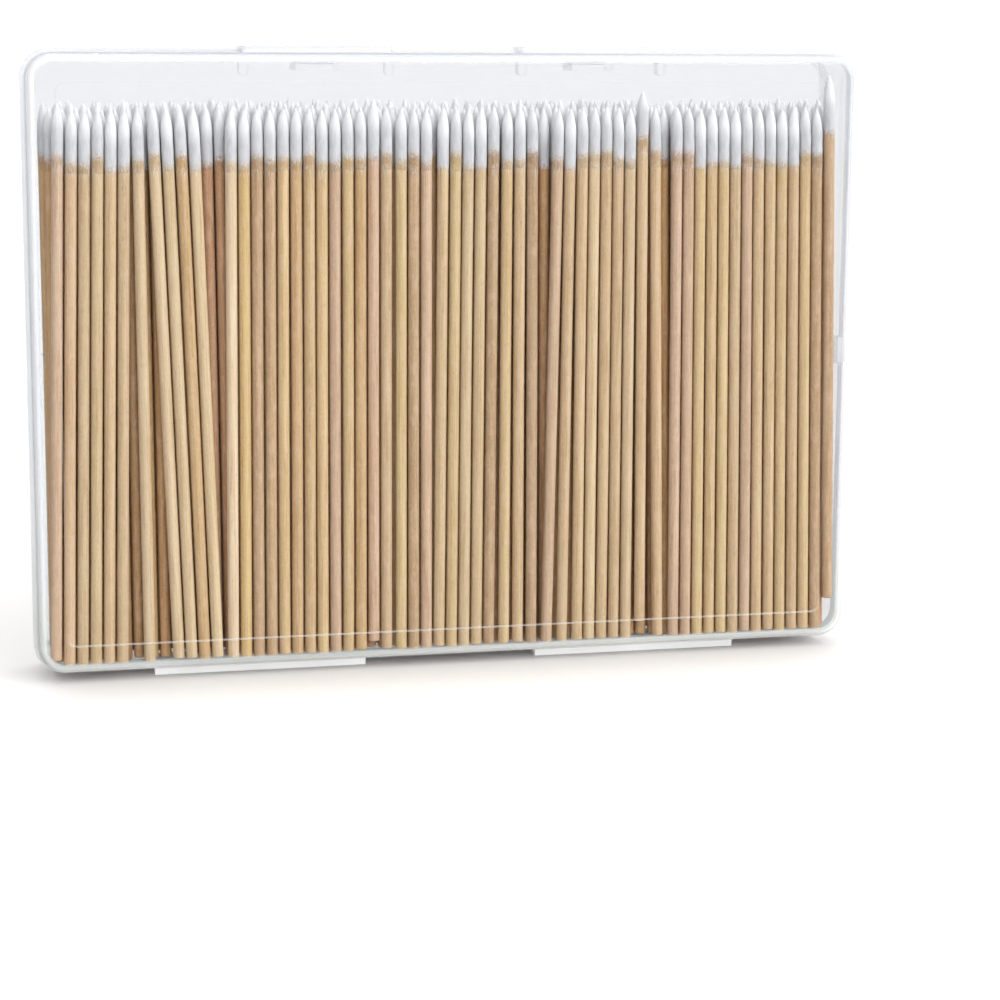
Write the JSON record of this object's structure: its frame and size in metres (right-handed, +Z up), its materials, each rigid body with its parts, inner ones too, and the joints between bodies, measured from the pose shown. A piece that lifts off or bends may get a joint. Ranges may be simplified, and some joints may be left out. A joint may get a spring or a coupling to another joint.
{
  "type": "cotton swab box",
  "caption": "Clear hinged flat box standing on its hinge side, with two snap latches on top, packed with rows of pointed wooden-stick cotton swabs",
  "frame": {"origin": "centre of the resting face under the hinge plates, in the middle of the box's width and depth", "axes": "+X along the width, to the right as seen from the lid; +Y from the lid to the tray's back; +Z up from the hinges to the latches"},
  "size_m": [0.155, 0.0182, 0.1142],
  "materials": {
    "clear_case": "clear moulded polypropylene, glossy, slightly milky and bluish",
    "hinge_film": "thin moulded film, whitish and translucent",
    "stick_wood": "bare straight-grained birch, matt",
    "cotton": "wound cotton, matt and slightly fuzzy"
  },
  "bodies": {
    "tray": {"case_tray": "clear_case", "hinge_web_left": "hinge_film", "hinge_web_right": "hinge_film", "sticks_row_1": "stick_wood", "sticks_row_2": "stick_wood", "sticks_row_3": "stick_wood", "sticks_row_4": "stick_wood", "sticks_row_5": "stick_wood", "sticks_row_6": "stick_wood", "sticks_row_7": "stick_wood", "cotton_row_1": "cotton", "cotton_row_2": "cotton", "cotton_row_3": "cotton", "cotton_row_4": "cotton", "cotton_row_5": "cotton", "cotton_row_6": "cotton", "cotton_row_7": "cotton"},
    "lid": {"case_lid": "clear_case"}
  },
  "joints": [
    {"name": "lid_hinge", "type": "hinge", "parent": "tray", "child": "lid", "pos_m": [0, -0.00355, 0], "axis": [1, 0, 0], "range_deg": [0, 180]}
  ]
}
